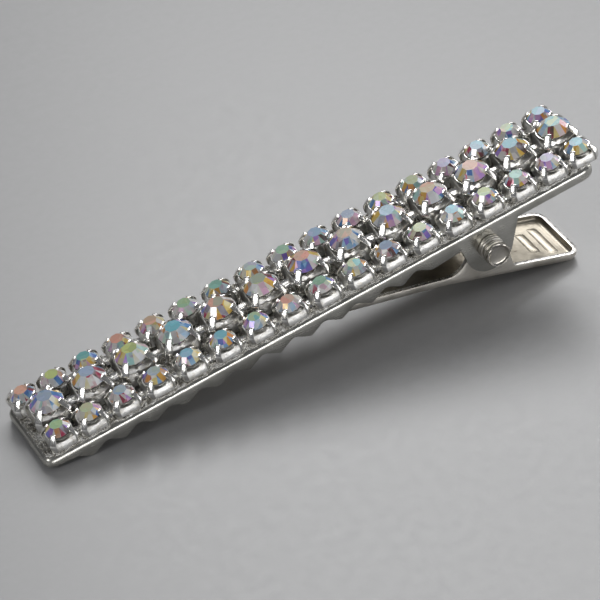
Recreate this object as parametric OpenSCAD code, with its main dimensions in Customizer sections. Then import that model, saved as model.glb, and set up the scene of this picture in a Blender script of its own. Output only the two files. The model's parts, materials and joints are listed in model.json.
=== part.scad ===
// Flat-topped alligator hair clip with three rows of cup chain.
// Every part is drawn in the plate's own frame: X runs from the front edge of the plate to the pivot,
// Z is zero on top of the plate and Y is zero on the centre line. seat() then stands the closed clip
// on the front of its upper jaw and the heel of its lever, with the origin under its middle.

/* [Plate] */
// Length of the flat top plate
plate_len = 56.5; // [46:0.5:72]
// Width of the plate over its two side flanges
plate_w = 9; // [8.6:0.1:12]
// Thickness of the sheet steel
sheet = 0.4; // [0.3:0.05:0.5]
// Outside radius of the bend between plate and flanges
bend_r = 0.55; // [0.5:0.05:0.8]
// Radius of the plate's front corners, seen from above
corner_r = 0.9; // [0.3:0.1:1.5]
// Depth of the front lip
lip_depth = 0.85; // [0.6:0.05:1.1]
// Width of the notch in the front lip
lip_notch = 0.5; // [0.2:0.1:1]

/* [Teeth] */
// Distance from the front edge to the first tooth
tooth_first = 4.3; // [3.5:0.1:6]
// Distance from tooth to tooth
tooth_pitch = 3.16; // [2.6:0.02:4]
// Depth of a tooth's tip below the top of the plate
tooth_tip = 1.9; // [1.7:0.05:2.2]
// Depth of the hollow between two teeth
tooth_hollow = 1.1; // [1:0.05:1.3]
// Radius at the top of a hollow
hollow_r = 0.9; // [0.4:0.1:1]

/* [Pivot] */
// Distance from the rear edge of the plate to the pin
pin_from_rear = 11.7; // [10:0.1:14]
// Depth of the pin's centre below the top of the plate
pin_depth = 2.65; // [2.5:0.05:3.2]
// Radius of the pin's shank
pin_r = 0.8; // [0.6:0.05:0.9]
// Radius of the pin's heads
head_r = 1.2; // [1:0.02:1.5]
// How far each head stands out from its ear
head_len = 1.77; // [1.2:0.01:2.4]
// Radial clearance of the pin in the upper jaw, which holds it
hold_clearance = 0.02; // [0.01:0.01:0.05]
// Radial clearance of the pin in the lower jaw, which turns on it
turn_clearance = 0.05; // [0.02:0.01:0.1]
// Radius of the upper jaw's ears
ear_r = 2.4; // [2.1:0.1:3]
// How far the centre of an upper ear lies below the pin
ear_drop = 0.3; // [0:0.1:0.6]

/* [Lower jaw] */
// Gap between the lower jaw's walls and the flanges on each side
side_gap = 0.3; // [0.15:0.05:0.5]
// Gap between the closed jaws
grip_gap = 0.05; // [0.03:0.01:0.1]
// Depth of the grip strip's underside below the top of the plate
grip_depth = 1.15; // [1.05:0.05:1.5]
// Slope of the lower jaw between its two bends, in degrees
slope_mid = 17; // [14:0.5:19]
// Slope of the lower jaw from its second bend to the end of the lever, in degrees
slope_lever = 21; // [20:0.5:26]
// Distance from the first bend to the pin, along the plate
bend_1_to_pin = 18.5; // [16:0.5:21]
// Distance from the second bend to the pin, along the plate
bend_2_to_pin = 4.8; // [4:0.1:6]
// Distance from the pin to the end of the lever, along the plate
pin_to_heel = 8.4; // [7:0.1:10]
// Height of the lower jaw's side walls, with the floor
wall_h = 1.05; // [0.9:0.05:1.4]
// Radius of the lower jaw's ears
low_ear_r = 1.7; // [1.4:0.05:1.8]
// Radius of the sweep from a side wall up to its ear
sweep_r = 2; // [1.2:0.1:2.4]
// Radius of the lever's rear corners, seen from above
tray_r = 1.2; // [0.8:0.1:2]
// Radius of the bend between the lever's floor and its rear wall
heel_r = 0.8; // [0.5:0.1:1]

/* [Spring] */
// Diameter of the spring's wire
wire_d = 0.6; // [0.4:0.05:0.7]
// Mean radius of the coil
coil_r = 1.5; // [1.35:0.05:1.6]
// Number of whole turns
coil_turns = 8; // [5:1:8]

/* [Small chain] */
// Distance from stone to stone in the two outer rows
small_pitch = 3.4; // [3.1:0.05:4]
// Radius of a small stone
small_stone_r = 1.18; // [0.95:0.01:1.45]
// Distance from the plate's front edge to the first stone of the far row
far_first = 1.25; // [0.8:0.05:2]
// How far the near row is set behind the far row
near_shift = 0.7; // [0:0.05:1]

/* [Large chain] */
// Distance from stone to stone in the middle row
large_pitch = 4.39; // [4:0.01:5]
// Radius of a large stone
large_stone_r = 1.55; // [1.25:0.01:1.9]
// Distance from the plate's front edge to the first stone of the middle row
large_first = 2.75; // [2:0.05:4]

/* [Cups] */
// Gap between a stone and the walls of its cup
stone_gap = 0.02; // [0.01:0.01:0.05]
// Thickness of a cup's walls
cup_wall = 0.15; // [0.1:0.01:0.17]
// Thickness of a cup's floor and of the links
cup_floor = 0.2; // [0.1:0.05:0.3]
// Width of a prong along the cup's side
prong_w = 0.5; // [0.35:0.05:0.6]
// Height of a small cup's walls between its prongs
small_wall_h = 0.9; // [0.6:0.05:1.1]
// Height of a large cup's walls between its prongs
large_wall_h = 1.4; // [0.9:0.05:1.7]
// Gap between neighbouring rows of cups
row_gap = 0.03; // [0.01:0.01:0.1]
// Thickness of the adhesive under the cups
glue_t = 0.25; // [0.15:0.05:0.4]

/* [Hidden] */
$fn = 64;

// Stones as [radius, table radius, crown, girdle, pavilion]
small_stone = [small_stone_r, 0.55 * small_stone_r, 0.6, 0.1, 1.03];
large_stone = [large_stone_r, 0.55 * large_stone_r, 0.75, 0.12, 1.76];
culet_r = 0.12;
stone_seat = 0.02;
stone_sides = 8;
// A prong's tip: its gap over the stone's crown, thickness and width
tip_clearance = 0.06;
tip_t = 0.24;
tip_w = 0.36;
prong_lean = 0.85;
link_w = 1.1;
large_link_z = 0.7;
glue_inset = 0.2;

small_cup = 2 * (small_stone_r + stone_gap + cup_wall);
large_cup = 2 * (large_stone_r + stone_gap + cup_wall);
small_count = round((plate_len - small_cup) / small_pitch) + 1;
large_count = round((plate_len - large_cup) / large_pitch) + 1;
row_y = large_cup / 2 + row_gap + small_cup / 2;

// More than any depth or height in the clip
deep = 30;
pin_x = plate_len - pin_from_rear;
// Depths of the flange between the last tooth and the ear, and behind the ear
flange_mid = 1.65;
flange_rear = 1.2;
ear_lean_front = 10;
ear_lean_rear = 24;
ear_c = [pin_x, -pin_depth - ear_drop];
ear_front = ear_c + ear_r * [-cos(ear_lean_front), -sin(ear_lean_front)];
ear_rear = ear_c + ear_r * [cos(ear_lean_rear), -sin(ear_lean_rear)];
ear_front_top = [ear_front.x + (ear_front.y + flange_mid) * tan(ear_lean_front), -flange_mid];
ear_rear_top = [ear_rear.x - (ear_rear.y + flange_rear) * tan(ear_lean_rear), -flange_rear];
last_tooth_to_pin = 4.2;
tooth_steps = floor((pin_x - last_tooth_to_pin - tooth_first) / tooth_pitch);

low_w = plate_w - 2 * (sheet + side_gap);
low_front = sheet + side_gap;
low_bend_r = 0.6;
bend_1 = [pin_x - bend_1_to_pin, -grip_depth];
bend_2 = [pin_x - bend_2_to_pin, bend_1.y - (bend_1_to_pin - bend_2_to_pin) * tan(slope_mid)];
heel = [pin_x + pin_to_heel, bend_2.y - (bend_2_to_pin + pin_to_heel) * tan(slope_lever)];
lever_len = norm(heel - bend_2);
wall_mid = wall_h / cos(slope_mid);
wall_lever = wall_h / cos(slope_lever);
grip_top = -sheet - grip_gap;
grip_end = [bend_1.x + (bend_1.y + wall_mid - grip_top) / tan(slope_mid), grip_top];
ear_overlap = 0.15;
sweep_x = pin_x - low_ear_r - sweep_r + ear_overlap;
sweep_c = [sweep_x, wall_top(sweep_x) + sweep_r / cos(slope_lever)];
low_ear_c = [pin_x, -pin_depth];
low_ear_foot = pin_x + low_ear_r + 0.4;
wall_overlap = 0.5;
low_tooth_h = 0.25;
low_tooth_half = 0.7;
// Ribs as [distance from the lever's end, length]
ribs = [[1.9, 4.6], [3.5, 3.4]];
rib_r = 0.28;
rib_h = 0.2;

head_play = 0.03;
collar_len = 0.62;
groove_w = 0.22;
groove_depth = 0.2;
cap_step = 0.03;
cap_round = 0.12;
rim_w = 0.08;
dish_depth = 0.2;

wire_r = wire_d / 2;
coil_play = 0.9;
coil_width = low_w - 2 * sheet - wire_d - coil_play;
leg_up_at = 100;
leg_down_at = 225;
leg_clearance = 0.05;
steps_per_turn = 12;
wire_sides = 8;

// The clip stands on its lip or its first teeth, whichever touch first, and on the lever's round heel
heel_c = heel + heel_r * [sin(slope_lever) - cos(slope_lever), cos(slope_lever) + sin(slope_lever)];
feet = [[0, -lip_depth], [tooth_first, -tooth_tip]];
tilt = min([for (foot = feet) tilt_on(foot)]);
prong_top = prong_tip_z(small_stone) + tip_t / 2;
front_end = turned_x([far_first - small_cup / 2, glue_t + prong_top]);
last_near = far_first + near_shift + (small_count - 1) * small_pitch;
rear_end = max(turned_x([last_near + small_cup / 2, glue_t]), turned_x([plate_len, -flange_rear]));
origin = [-(front_end + rear_end) / 2, 0, -min([for (foot = feet) turned_z(foot)])];

function tilt_on(foot) =
    let (way = heel_c - foot)
    asin(heel_r / norm(way)) - atan2(way.y, way.x);
function turned_x(p) = p.x * cos(tilt) - p.y * sin(tilt);
function turned_z(p) = p.x * sin(tilt) + p.y * cos(tilt);
function wall_top(x) = bend_2.y - (x - bend_2.x) * tan(slope_lever) + wall_lever;
function crown_z(stone, r) = stone[2] * (stone[0] - r) / (stone[0] - stone[1]);
function girdle_top(stone) = cup_floor + stone_seat + stone[4] + stone[3];
function prong_reach(stone) = prong_lean * stone[0];
function prong_tip_z(stone) =
    girdle_top(stone) + crown_z(stone, prong_reach(stone)) + tip_clearance + tip_t / 2;
function two_digits(i) = i < 10 ? str("0", i) : str(i);
function unit(v) = v / norm(v);
function mitre_up(slope_a, slope_b) =
    [sin((slope_a + slope_b) / 2), cos((slope_a + slope_b) / 2)] / cos((slope_b - slope_a) / 2);
function numbered(name) = [for (i = [1:large_count]) str(name, "_", two_digits(i))];

module seat() {
    translate(origin) rotate([0, -tilt, 0]) children();
}

// Extrudes an outline drawn in X and Z, to both sides of the centre line
module across(width) {
    rotate([90, 0, 0]) linear_extrude(width, center = true) children();
}

// Extrudes an outline drawn in Y and Z, along X
module along(length) {
    rotate([90, 0, 90]) linear_extrude(length) children();
}

// What a round of radius r takes off the corner at a point; dir points into the body
module corner_cut(at, dir, r) {
    difference() {
        translate(at) square(2 * r, center = true);
        translate(at + dir * r) circle(r);
    }
}

module pin_hole(clearance) {
    translate([pin_x, 0, -pin_depth]) rotate([90, 0, 0]) {
        cylinder(h = plate_w + 2, r = pin_r + clearance, center = true);
    }
}

// The hollow between two teeth, from one tip at the origin to the next
module tooth_gap() {
    hollow = [tooth_pitch / 2, tooth_tip - tooth_hollow - hollow_r];
    reach = norm(hollow);
    angle = atan2(hollow.y, hollow.x) + asin(hollow_r / reach);
    touch = sqrt(reach * reach - hollow_r * hollow_r) * [cos(angle), sin(angle)];
    translate(hollow) circle(hollow_r);
    polygon([[0, 0], touch, [tooth_pitch - touch.x, touch.y], [tooth_pitch, 0],
             [tooth_pitch, -deep], [0, -deep]]);
}

module flange_outline() {
    last_tooth = tooth_first + tooth_steps * tooth_pitch;
    difference() {
        union() {
            polygon([[0, 0], [0, -lip_depth], [tooth_first - tooth_pitch / 2, -tooth_hollow],
                     [tooth_first, -tooth_tip], [last_tooth, -tooth_tip], ear_front_top,
                     ear_front, ear_c, ear_rear, ear_rear_top,
                     [plate_len, -flange_rear], [plate_len, 0]]);
            translate(ear_c) circle(ear_r);
        }
        for (i = [0:tooth_steps - 1]) {
            translate([tooth_first + i * tooth_pitch, -tooth_tip]) tooth_gap();
        }
        corner_cut([0, 0], [1, -1], bend_r);
        corner_cut([plate_len, -flange_rear], [-1, 1], bend_r);
    }
}

module plate_plan() {
    difference() {
        translate([0, -plate_w / 2]) square([plate_len, plate_w]);
        for (side = [-1, 1]) {
            corner_cut([0, side * plate_w / 2], [1, -side], corner_r);
        }
    }
}

module flange_section() {
    difference() {
        translate([-plate_w / 2, -deep]) square([plate_w, deep]);
        for (side = [-1, 1]) {
            corner_cut([side * plate_w / 2, 0], [-side, -1], bend_r);
        }
    }
}

module upper_jaw() {
    inside_w = plate_w - 2 * sheet;
    color("silver") seat() difference() {
        intersection() {
            along(plate_len) flange_section();
            across(plate_w) flange_outline();
            translate([0, 0, -deep]) linear_extrude(deep) plate_plan();
        }
        translate([sheet, -inside_w / 2, -deep - sheet]) cube([plate_len, inside_w, deep]);
        translate([-sheet, -lip_notch / 2, -lip_depth - 1]) cube([3 * sheet, lip_notch, 1.35]);
        pin_hole(hold_clearance);
    }
}

// Puts the lower jaw's own frame at a bend, with X down the slope that follows it
module on_slope(at, slope) {
    translate([at.x, 0, at.y]) rotate([0, slope, 0]) children();
}

// A long bar with its two lower edges rounded, along one straight stretch of the lower jaw
module low_bar(at, slope) {
    on_slope(at, slope) translate([-plate_len, 0, 0]) along(2 * plate_len) difference() {
        translate([-low_w / 2, 0]) square([low_w, deep]);
        for (side = [-1, 1]) {
            corner_cut([side * low_w / 2, 0], [-side, 1], low_bend_r);
        }
    }
}

// What rounds the lever's two rear corners, seen from above
module lever_corners() {
    on_slope(bend_2, slope_lever) translate([0, 0, -1]) linear_extrude(wall_h + 2) {
        for (side = [-1, 1]) {
            corner_cut([lever_len, side * low_w / 2], [-1, -side], tray_r);
        }
    }
}

// The space inside the lever: its floor rises into the rear wall and its rear corners are round
module tray_hollow() {
    width = low_w - 2 * sheet;
    end = lever_len - sheet;
    on_slope(bend_2, slope_lever) intersection() {
        translate([0, 0, sheet]) linear_extrude(deep) difference() {
            translate([0, -width / 2]) square([end, width]);
            for (side = [-1, 1]) {
                corner_cut([end, side * width / 2], [-1, -side], tray_r - sheet);
            }
        }
        across(low_w) difference() {
            translate([-1, sheet]) square([end + 1, deep]);
            corner_cut([end, sheet], [-1, 1], heel_r - sheet);
        }
    }
}

// The space inside the grip strip and the slope behind it
module channel_hollow() {
    floor_1 = bend_1 + sheet * mitre_up(0, slope_mid);
    floor_2 = bend_2 + sheet * mitre_up(slope_mid, slope_lever);
    across(low_w - 2 * sheet) {
        polygon([[0, floor_1.y], floor_1, floor_2, floor_2 + [0.5, deep], [0, deep]]);
    }
}

// Cross ribs pressed up in the lever's floor
module tray_ribs() {
    rib_z = sheet + rib_h - rib_r;
    for (rib = ribs) {
        on_slope(bend_2, slope_lever) translate([lever_len - rib[0], 0, rib_z]) {
            rotate([90, 0, 0]) cylinder(h = rib[1], r = rib_r, center = true);
        }
    }
}

// The lower jaw from the side, without its ears: low walls, with small grip teeth in front
module wall_outline() {
    grip_teeth = floor((grip_end.x - low_front) / tooth_pitch);
    heel_top = heel + wall_h * [sin(slope_lever), cos(slope_lever)];
    difference() {
        polygon([[low_front, -grip_depth], [low_front, grip_top], grip_end,
                 bend_2 + wall_h * mitre_up(slope_mid, slope_lever), heel_top,
                 heel, bend_2, bend_1]);
        translate(heel) rotate(-slope_lever) corner_cut([0, 0], [-1, 1], heel_r);
        for (i = [1:grip_teeth - 1]) {
            translate([low_front + i * tooth_pitch, grip_top]) {
                polygon([[-low_tooth_half, 1], [-low_tooth_half, 0], [0, -low_tooth_h],
                         [low_tooth_half, 0], [low_tooth_half, 1]]);
            }
        }
    }
}

// One of the lower jaw's ears from the side: a sweep up from the wall in front, round on top
module low_ear_outline() {
    foot = sweep_c - sweep_r * [sin(slope_lever), cos(slope_lever)];
    difference() {
        polygon([foot, sweep_c, [pin_x, sweep_c.y], [pin_x + low_ear_r - ear_overlap, -pin_depth],
                 [low_ear_foot, wall_top(low_ear_foot)],
                 [low_ear_foot, wall_top(low_ear_foot) - wall_overlap], foot - [0, wall_overlap]]);
        translate(sweep_c) circle(sweep_r);
    }
}

// The lower jaw before it is hollowed: its outline from the side, within its three bars
module low_blank() {
    difference() {
        intersection() {
            union() {
                across(low_w + 2) wall_outline();
                across(low_w + 2) low_ear_outline();
                across(low_w + 2) translate(low_ear_c) circle(low_ear_r);
            }
            union() {
                low_bar([low_front, bend_1.y], 0);
                low_bar(bend_1, slope_mid);
                low_bar(bend_2, slope_lever);
            }
        }
        lever_corners();
    }
}

module lower_jaw() {
    color("gainsboro") seat() difference() {
        union() {
            difference() {
                low_blank();
                channel_hollow();
                tray_hollow();
            }
            tray_ribs();
        }
        pin_hole(turn_clearance);
    }
}

// A pin with a head on each end: a collar by the ear, a groove, then a cap with a dished end
module pivot_pin() {
    ear = plate_w / 2 + head_play;
    groove = ear + collar_len;
    cap = groove + groove_w;
    end = ear + head_len;
    cap_r = head_r - cap_step;
    half = [[pin_r, ear], [head_r, ear], [head_r, groove], [head_r - groove_depth, groove],
            [head_r - groove_depth, cap], [cap_r, cap], [cap_r, end - cap_round],
            [cap_r - cap_round, end], [cap_r - cap_round - rim_w, end],
            [cap_r - cap_round - rim_w - dish_depth, end - dish_depth], [0, end - dish_depth]];
    last = len(half) - 1;
    color("silver") seat() translate([pin_x, 0, -pin_depth]) rotate([90, 0, 0]) {
        rotate_extrude() {
            polygon(concat(half, [for (i = [0:last]) [half[last - i].x, -half[last - i].y]]));
        }
    }
}

// A point of the coil's centre line, around the pin
function coil_point(angle) =
    let (whole = 360 * coil_turns + leg_down_at - leg_up_at)
    [coil_r * cos(angle), coil_width * ((angle - leg_up_at) / whole - 0.5), coil_r * sin(angle)];

function spring_path() =
    let (whole = 360 * coil_turns + leg_down_at - leg_up_at,
         steps = ceil(whole / 360 * steps_per_turn),
         top = coil_point(leg_up_at),
         bottom = coil_point(leg_up_at + whole),
         up = [sin(leg_up_at), 0, -cos(leg_up_at)],
         down = [-sin(leg_down_at), 0, cos(leg_down_at)],
         rise = pin_depth - top.z - sheet - wire_r - leg_clearance,
         floor_z = bend_2.y - (pin_x + bottom.x - bend_2.x) * tan(slope_lever)
                   + (sheet + wire_r + leg_clearance) / cos(slope_lever) + pin_depth,
         run = (bottom.z - floor_z) / (-down.z - down.x * tan(slope_lever)))
    concat([top + up * rise / up.z],
           [for (i = [0:steps]) coil_point(leg_up_at + whole * i / steps)],
           [bottom + down * run]);

// A round tube along a path that never runs along Y
module tube(path, r, sides) {
    last = len(path) - 1;
    points = [for (i = [0:last])
        let (ahead = unit(path[min(i + 1, last)] - path[max(i - 1, 0)]),
             a = unit(cross(ahead, [0, 1, 0])),
             b = cross(ahead, a))
        for (k = [0:sides - 1]) path[i] + r * (cos(360 * k / sides) * a + sin(360 * k / sides) * b)];
    walls = [for (i = [0:last - 1]) for (k = [0:sides - 1])
        let (n = (k + 1) % sides)
        [i * sides + k, i * sides + n, (i + 1) * sides + n, (i + 1) * sides + k]];
    first_cap = [for (k = [sides - 1:-1:0]) k];
    last_cap = [for (k = [0:sides - 1]) last * sides + k];
    polyhedron(points, concat([first_cap], walls, [last_cap]));
}

module torsion_spring() {
    color("dimgray") seat() translate([pin_x, 0, -pin_depth]) tube(spring_path(), wire_r, wire_sides);
}

module glue_bed() {
    width = plate_w - 2 * glue_inset;
    color("whitesmoke") seat() linear_extrude(glue_t) difference() {
        translate([glue_inset, -width / 2]) square([plate_len - 2 * glue_inset, width]);
        for (side = [-1, 1]) {
            corner_cut([glue_inset, side * width / 2], [1, -side], corner_r);
        }
    }
}

// A square cup whose corners rise into prongs, with a tip over the stone at each corner
module cup(width, side_h, stone) {
    tip_z = prong_tip_z(stone);
    inside = width - 2 * cup_wall;
    window = width - 2 * prong_w;
    tip_out = sqrt(2) * (width / 2 - cup_wall / 2);
    translate([0, 0, tip_z / 2]) difference() {
        cube([width, width, tip_z], center = true);
        translate([0, 0, cup_floor]) cube([inside, inside, tip_z], center = true);
        translate([0, 0, side_h]) cube([window, 2 * width, tip_z], center = true);
        translate([0, 0, side_h]) cube([2 * width, window, tip_z], center = true);
    }
    for (turn = [45:90:315]) {
        rotate(turn) translate([prong_reach(stone), -tip_w / 2, tip_z - tip_t / 2]) {
            cube([tip_out - prong_reach(stone), tip_w, tip_t]);
        }
    }
}

// A faceted stone: culet, girdle and table as rings of one many-sided solid, standing on z = 0
module stone(size) {
    heights = [0, size[4], size[4] + size[3], size[4] + size[3] + size[2]];
    radii = [culet_r, size[0], size[0], size[1]];
    rings = [for (i = [0:3]) for (k = [0:stone_sides - 1])
        let (turn = 360 * (k + 0.5) / stone_sides)
        [radii[i] * cos(turn), radii[i] * sin(turn), heights[i]]];
    walls = [for (i = [0:2]) for (k = [0:stone_sides - 1])
        let (n = (k + 1) % stone_sides)
        [i * stone_sides + k, (i + 1) * stone_sides + k, (i + 1) * stone_sides + n, i * stone_sides + n]];
    bottom = [for (k = [0:stone_sides - 1]) k];
    table = [for (k = [stone_sides - 1:-1:0]) 3 * stone_sides + k];
    polyhedron(rings, concat([bottom], walls, [table]));
}

module placed(first, pitch, i, y) {
    seat() translate([first + (i - 1) * pitch, y, glue_t]) children();
}

module cup_row(first, y) {
    for (i = [1:small_count]) {
        placed(first, small_pitch, i, y) cup(small_cup, small_wall_h, small_stone);
    }
}

module stone_row(first, y) {
    for (i = [1:small_count]) {
        placed(first, small_pitch, i, y) translate([0, 0, cup_floor + stone_seat]) stone(small_stone);
    }
}

module link_row(first, pitch, width, count, y, z) {
    for (i = [1:count - 1]) {
        placed(first, pitch, i, y) translate([width / 2, -link_w / 2, z]) {
            cube([pitch - width, link_w, cup_floor]);
        }
    }
}

module far_row_cups() {
    color("silver") cup_row(far_first, row_y);
}

module far_row_stones() {
    color("lavender") stone_row(far_first, row_y);
}

module far_row_links() {
    color("silver") link_row(far_first, small_pitch, small_cup, small_count, row_y, 0);
}

module near_row_cups() {
    color("silver") cup_row(far_first + near_shift, -row_y);
}

module near_row_stones() {
    color("lavender") stone_row(far_first + near_shift, -row_y);
}

module near_row_links() {
    color("silver") link_row(far_first + near_shift, small_pitch, small_cup, small_count, -row_y, 0);
}

module middle_row_links() {
    color("silver") link_row(large_first, large_pitch, large_cup, large_count, 0, large_link_z);
}

module middle_cup(i) {
    color("silver") placed(large_first, large_pitch, i, 0) cup(large_cup, large_wall_h, large_stone);
}

module middle_stone(i) {
    color("lavender") placed(large_first, large_pitch, i, 0) {
        translate([0, 0, cup_floor + stone_seat]) stone(large_stone);
    }
}

upper_jaw();
lower_jaw();
pivot_pin();
torsion_spring();
glue_bed();
far_row_cups();
far_row_links();
far_row_stones();
near_row_cups();
near_row_links();
near_row_stones();
middle_row_links();
for (i = [1:large_count]) {
    middle_cup(i);
    middle_stone(i);
}
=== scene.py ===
"""Looks of a flat alligator hair clip with three rows of cup chain.

Pieces are drawn in millimetres in the plate's own frame, as the CAD source draws them: X runs from the
plate's front edge to the pivot, Y is across, Z is zero on top of the plate. SEAT puts them in the frame.
"""
import json
import math
import random

import bmesh
import bpy
from mathutils import Matrix, Vector, noise


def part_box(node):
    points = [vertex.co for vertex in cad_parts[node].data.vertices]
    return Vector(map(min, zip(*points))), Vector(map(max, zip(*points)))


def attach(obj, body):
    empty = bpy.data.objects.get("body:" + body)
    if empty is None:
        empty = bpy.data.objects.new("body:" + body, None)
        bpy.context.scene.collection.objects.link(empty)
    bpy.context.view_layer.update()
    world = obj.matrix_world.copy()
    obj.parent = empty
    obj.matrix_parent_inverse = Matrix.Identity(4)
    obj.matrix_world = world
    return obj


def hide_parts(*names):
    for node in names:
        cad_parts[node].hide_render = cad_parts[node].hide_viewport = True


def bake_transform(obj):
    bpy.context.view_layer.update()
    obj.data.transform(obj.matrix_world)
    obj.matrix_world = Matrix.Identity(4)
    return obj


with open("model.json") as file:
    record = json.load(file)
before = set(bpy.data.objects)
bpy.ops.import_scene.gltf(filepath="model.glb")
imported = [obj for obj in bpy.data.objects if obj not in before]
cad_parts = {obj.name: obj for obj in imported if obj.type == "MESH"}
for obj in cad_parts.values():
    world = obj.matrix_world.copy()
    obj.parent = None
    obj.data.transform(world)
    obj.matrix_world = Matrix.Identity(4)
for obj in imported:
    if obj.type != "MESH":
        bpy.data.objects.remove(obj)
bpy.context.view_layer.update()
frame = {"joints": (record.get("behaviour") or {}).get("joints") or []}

MM = 0.001

# Sizes that the frame doesn't give by itself, in mm, as in the CAD source
PLATE_LEN = 56.5
PLATE_W = 9.0
SHEET = 0.4
PIN_X = 44.8
PIN_DEPTH = 2.65
BEND_R = 0.55
CORNER_R = 0.9
GLUE_T = 0.25
SMALL_PITCH = 3.4
LARGE_PITCH = 4.39
SMALL_R = 1.18
LARGE_R = 1.55
SMALL_CUP = 2.7
LARGE_CUP = 3.44
ROW_Y = 3.10
FAR_FIRST = 1.25
NEAR_FIRST = 1.95
LARGE_FIRST = 2.75
SMALL_COUNT = 17
LARGE_COUNT = 13
CUP_FLOOR = 0.2
STONE_SEAT = 0.02
PIN_R = 0.8
HEAD_R = 1.2
PIN_OUT = 1.8
WIRE_R = 0.3
COIL_R = 1.5
COIL_TURNS = 8
COIL_PLAY = 0.9
SMALL_WALL = 0.9
LARGE_WALL = 1.4
LARGE_LINK_Z = 0.7


# ---------------------------------------------------------------- frame

def seat_matrix():
    """From the plate's own frame in mm to the row frame in metres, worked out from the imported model."""
    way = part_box(f"middle_stone_{LARGE_COUNT:02d}")[0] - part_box("middle_stone_01")[0]
    turn = Matrix.Rotation(-math.atan2(way.z, way.x), 4, "Y")
    pin = Vector(frame["joints"][0]["pos_m"])
    origin = pin - turn @ (Vector((PIN_X, 0, -PIN_DEPTH)) * MM)
    return Matrix.Translation(origin) @ turn @ Matrix.Scale(MM, 4)


SEAT = seat_matrix()


# ---------------------------------------------------------------- meshes

class Shape:
    """Vertices and faces in mm, with a material index and a random number for each face."""

    def __init__(self):
        self.points = []
        self.faces = []
        self.kinds = []
        self.marks = []

    def face(self, corners, kind, mark=0.0):
        self.faces.append(corners)
        self.kinds.append(kind)
        self.marks.append(mark)

    def add(self, points, faces, kind=0):
        first = len(self.points)
        self.points += [Vector(p) for p in points]
        for corners in faces:
            self.face([first + i for i in corners], kind)

    def placed(self, matrix):
        moved = Shape()
        moved.points = [matrix @ p for p in self.points]
        moved.faces = self.faces
        moved.kinds = self.kinds
        moved.marks = self.marks
        return moved

    def join(self, other):
        first = len(self.points)
        self.points += other.points
        self.faces += [[first + i for i in face] for face in other.faces]
        self.kinds += other.kinds
        self.marks += other.marks


def ring_faces(rows, count, closed=True):
    """Quads between rows of count points each."""
    faces = []
    for r in range(rows - 1):
        for k in range(count if closed else count - 1):
            n = (k + 1) % count
            faces.append([r * count + k, r * count + n, (r + 1) * count + n, (r + 1) * count + k])
    return faces


def slab_faces(nx, ny):
    """Faces of a closed slab: a top grid of nx by ny points, the same below it, and its border."""
    count = nx * ny
    grid = [[i * ny + k, (i + 1) * ny + k, (i + 1) * ny + k + 1, i * ny + k + 1]
            for i in range(nx - 1) for k in range(ny - 1)]
    faces = grid + [[count + i for i in reversed(f)] for f in grid]
    border = ([i * ny for i in range(nx)] + [(nx - 1) * ny + k for k in range(1, ny)]
              + [i * ny + ny - 1 for i in reversed(range(nx - 1))] + list(reversed(range(1, ny - 1))))
    for a, b in zip(border, border[1:] + border[:1]):
        faces.append([b, a, count + a, count + b])
    return faces


def make_piece(name, shape, materials, body, nodes, bevel=0.0, sharp=35.0):
    """A mesh object in the row frame, from a shape in mm."""
    mesh = bpy.data.meshes.new(name)
    mesh.from_pydata([SEAT @ p for p in shape.points], [], shape.faces)
    for polygon, kind in zip(mesh.polygons, shape.kinds):
        polygon.material_index = kind
        polygon.use_smooth = True
    marks = mesh.attributes.new("mark", "FLOAT", "FACE")
    marks.data.foreach_set("value", shape.marks)
    piece = bpy.data.objects.new(name, mesh)
    bpy.context.scene.collection.objects.link(piece)
    for material in materials:
        mesh.materials.append(material)
    work = bmesh.new()
    work.from_mesh(mesh)
    bmesh.ops.recalc_face_normals(work, faces=work.faces)
    work.to_mesh(mesh)
    work.free()
    if bevel:
        rounding = piece.modifiers.new("rounding", "BEVEL")
        rounding.width = bevel * MM
        rounding.segments = 2
        rounding.limit_method = "ANGLE"
        rounding.angle_limit = math.radians(38)
        rounding.use_clamp_overlap = True
        applied = bpy.data.meshes.new_from_object(
            piece.evaluated_get(bpy.context.evaluated_depsgraph_get()))
        piece.modifiers.clear()
        piece.data = applied
        applied.name = name
    piece.data.set_sharp_from_angle(angle=math.radians(sharp))
    if body:
        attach(piece, body)
    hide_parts(*nodes)
    return piece


# ---------------------------------------------------------------- materials

def shader(name, metallic, roughness, colour):
    material = bpy.data.materials.new(name)
    material.use_nodes = True
    bsdf = material.node_tree.nodes["Principled BSDF"]
    bsdf.inputs["Metallic"].default_value = metallic
    bsdf.inputs["Roughness"].default_value = roughness
    bsdf.inputs["Base Color"].default_value = (*colour, 1)
    return material, bsdf


def node(material, kind, **values):
    made = material.node_tree.nodes.new(kind)
    for key, value in values.items():
        if key in made.inputs:
            made.inputs[key].default_value = value
        else:
            setattr(made, key, value)
    return made


def link(material, source, target):
    material.node_tree.links.new(source, target)


def coordinates(material, stretch=(1, 1, 1)):
    """Object coordinates in mm, stretched along each axis."""
    place = node(material, "ShaderNodeTexCoord")
    mapping = node(material, "ShaderNodeMapping")
    mapping.inputs["Scale"].default_value = [s / MM for s in stretch]
    link(material, place.outputs["Object"], mapping.inputs["Vector"])
    return mapping.outputs["Vector"]


def ramp(material, source, stops):
    """A colour for each value of source, with even steps between the stops."""
    made = node(material, "ShaderNodeValToRGB")
    made.color_ramp.interpolation = "LINEAR"
    elements = made.color_ramp.elements
    while len(elements) > 1:
        elements.remove(elements[-1])
    elements[0].position = stops[0][0]
    elements[0].color = (*stops[0][1], 1)
    for position, colour in stops[1:]:
        elements.new(position).color = (*colour, 1)
    link(material, source, made.inputs["Fac"])
    return made.outputs["Color"]


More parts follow.
